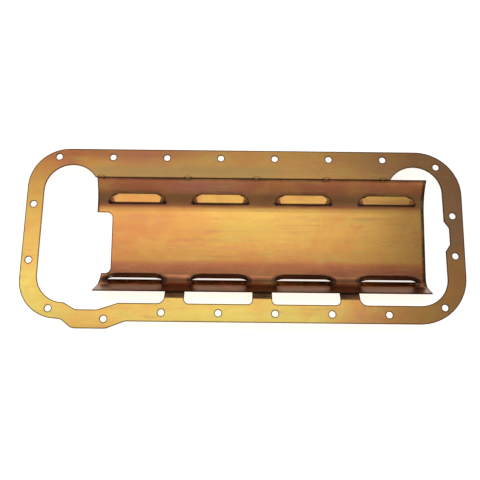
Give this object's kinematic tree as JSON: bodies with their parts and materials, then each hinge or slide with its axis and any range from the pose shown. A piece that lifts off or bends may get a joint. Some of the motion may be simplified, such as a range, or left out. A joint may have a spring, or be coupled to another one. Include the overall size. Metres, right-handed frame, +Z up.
{
  "type": "windage tray",
  "caption": "Flat bolt-on rail plate with a rolled, louvred trough below it, joined by weld beads and by straps bent down from the rail.",
  "frame": {"origin": "in the upper face of the rail plate, midway between the two long bolt rows and midway between the first and the last of their eight bolt columns", "axes": "+X along the tray, from the end with the notch and the jog to the other end; +Y to the long row of seven bolts; +Z up, out of the trough, to the crankshaft"},
  "size_m": [0.6064, 0.2544, 0.0349],
  "materials": {
    "rail_zinc": "zinc plate with a yellow, iridescent passivate, satin",
    "trough_zinc": "zinc plate with a yellow, iridescent passivate, satin, with rolling streaks along the trough",
    "weld_zinc": "zinc plate over small weld beads, darker and rougher than the sheet"
  },
  "bodies": {
    "root": {"rail_plate": "rail_zinc", "trough": "trough_zinc", "tack_weld_1": "weld_zinc", "tack_weld_2": "weld_zinc", "tack_weld_3": "weld_zinc", "tack_weld_4": "weld_zinc", "tack_weld_5": "weld_zinc", "strap_weld_1": "weld_zinc", "strap_weld_2": "weld_zinc", "strap_weld_3": "weld_zinc"}
  },
  "joints": []
}
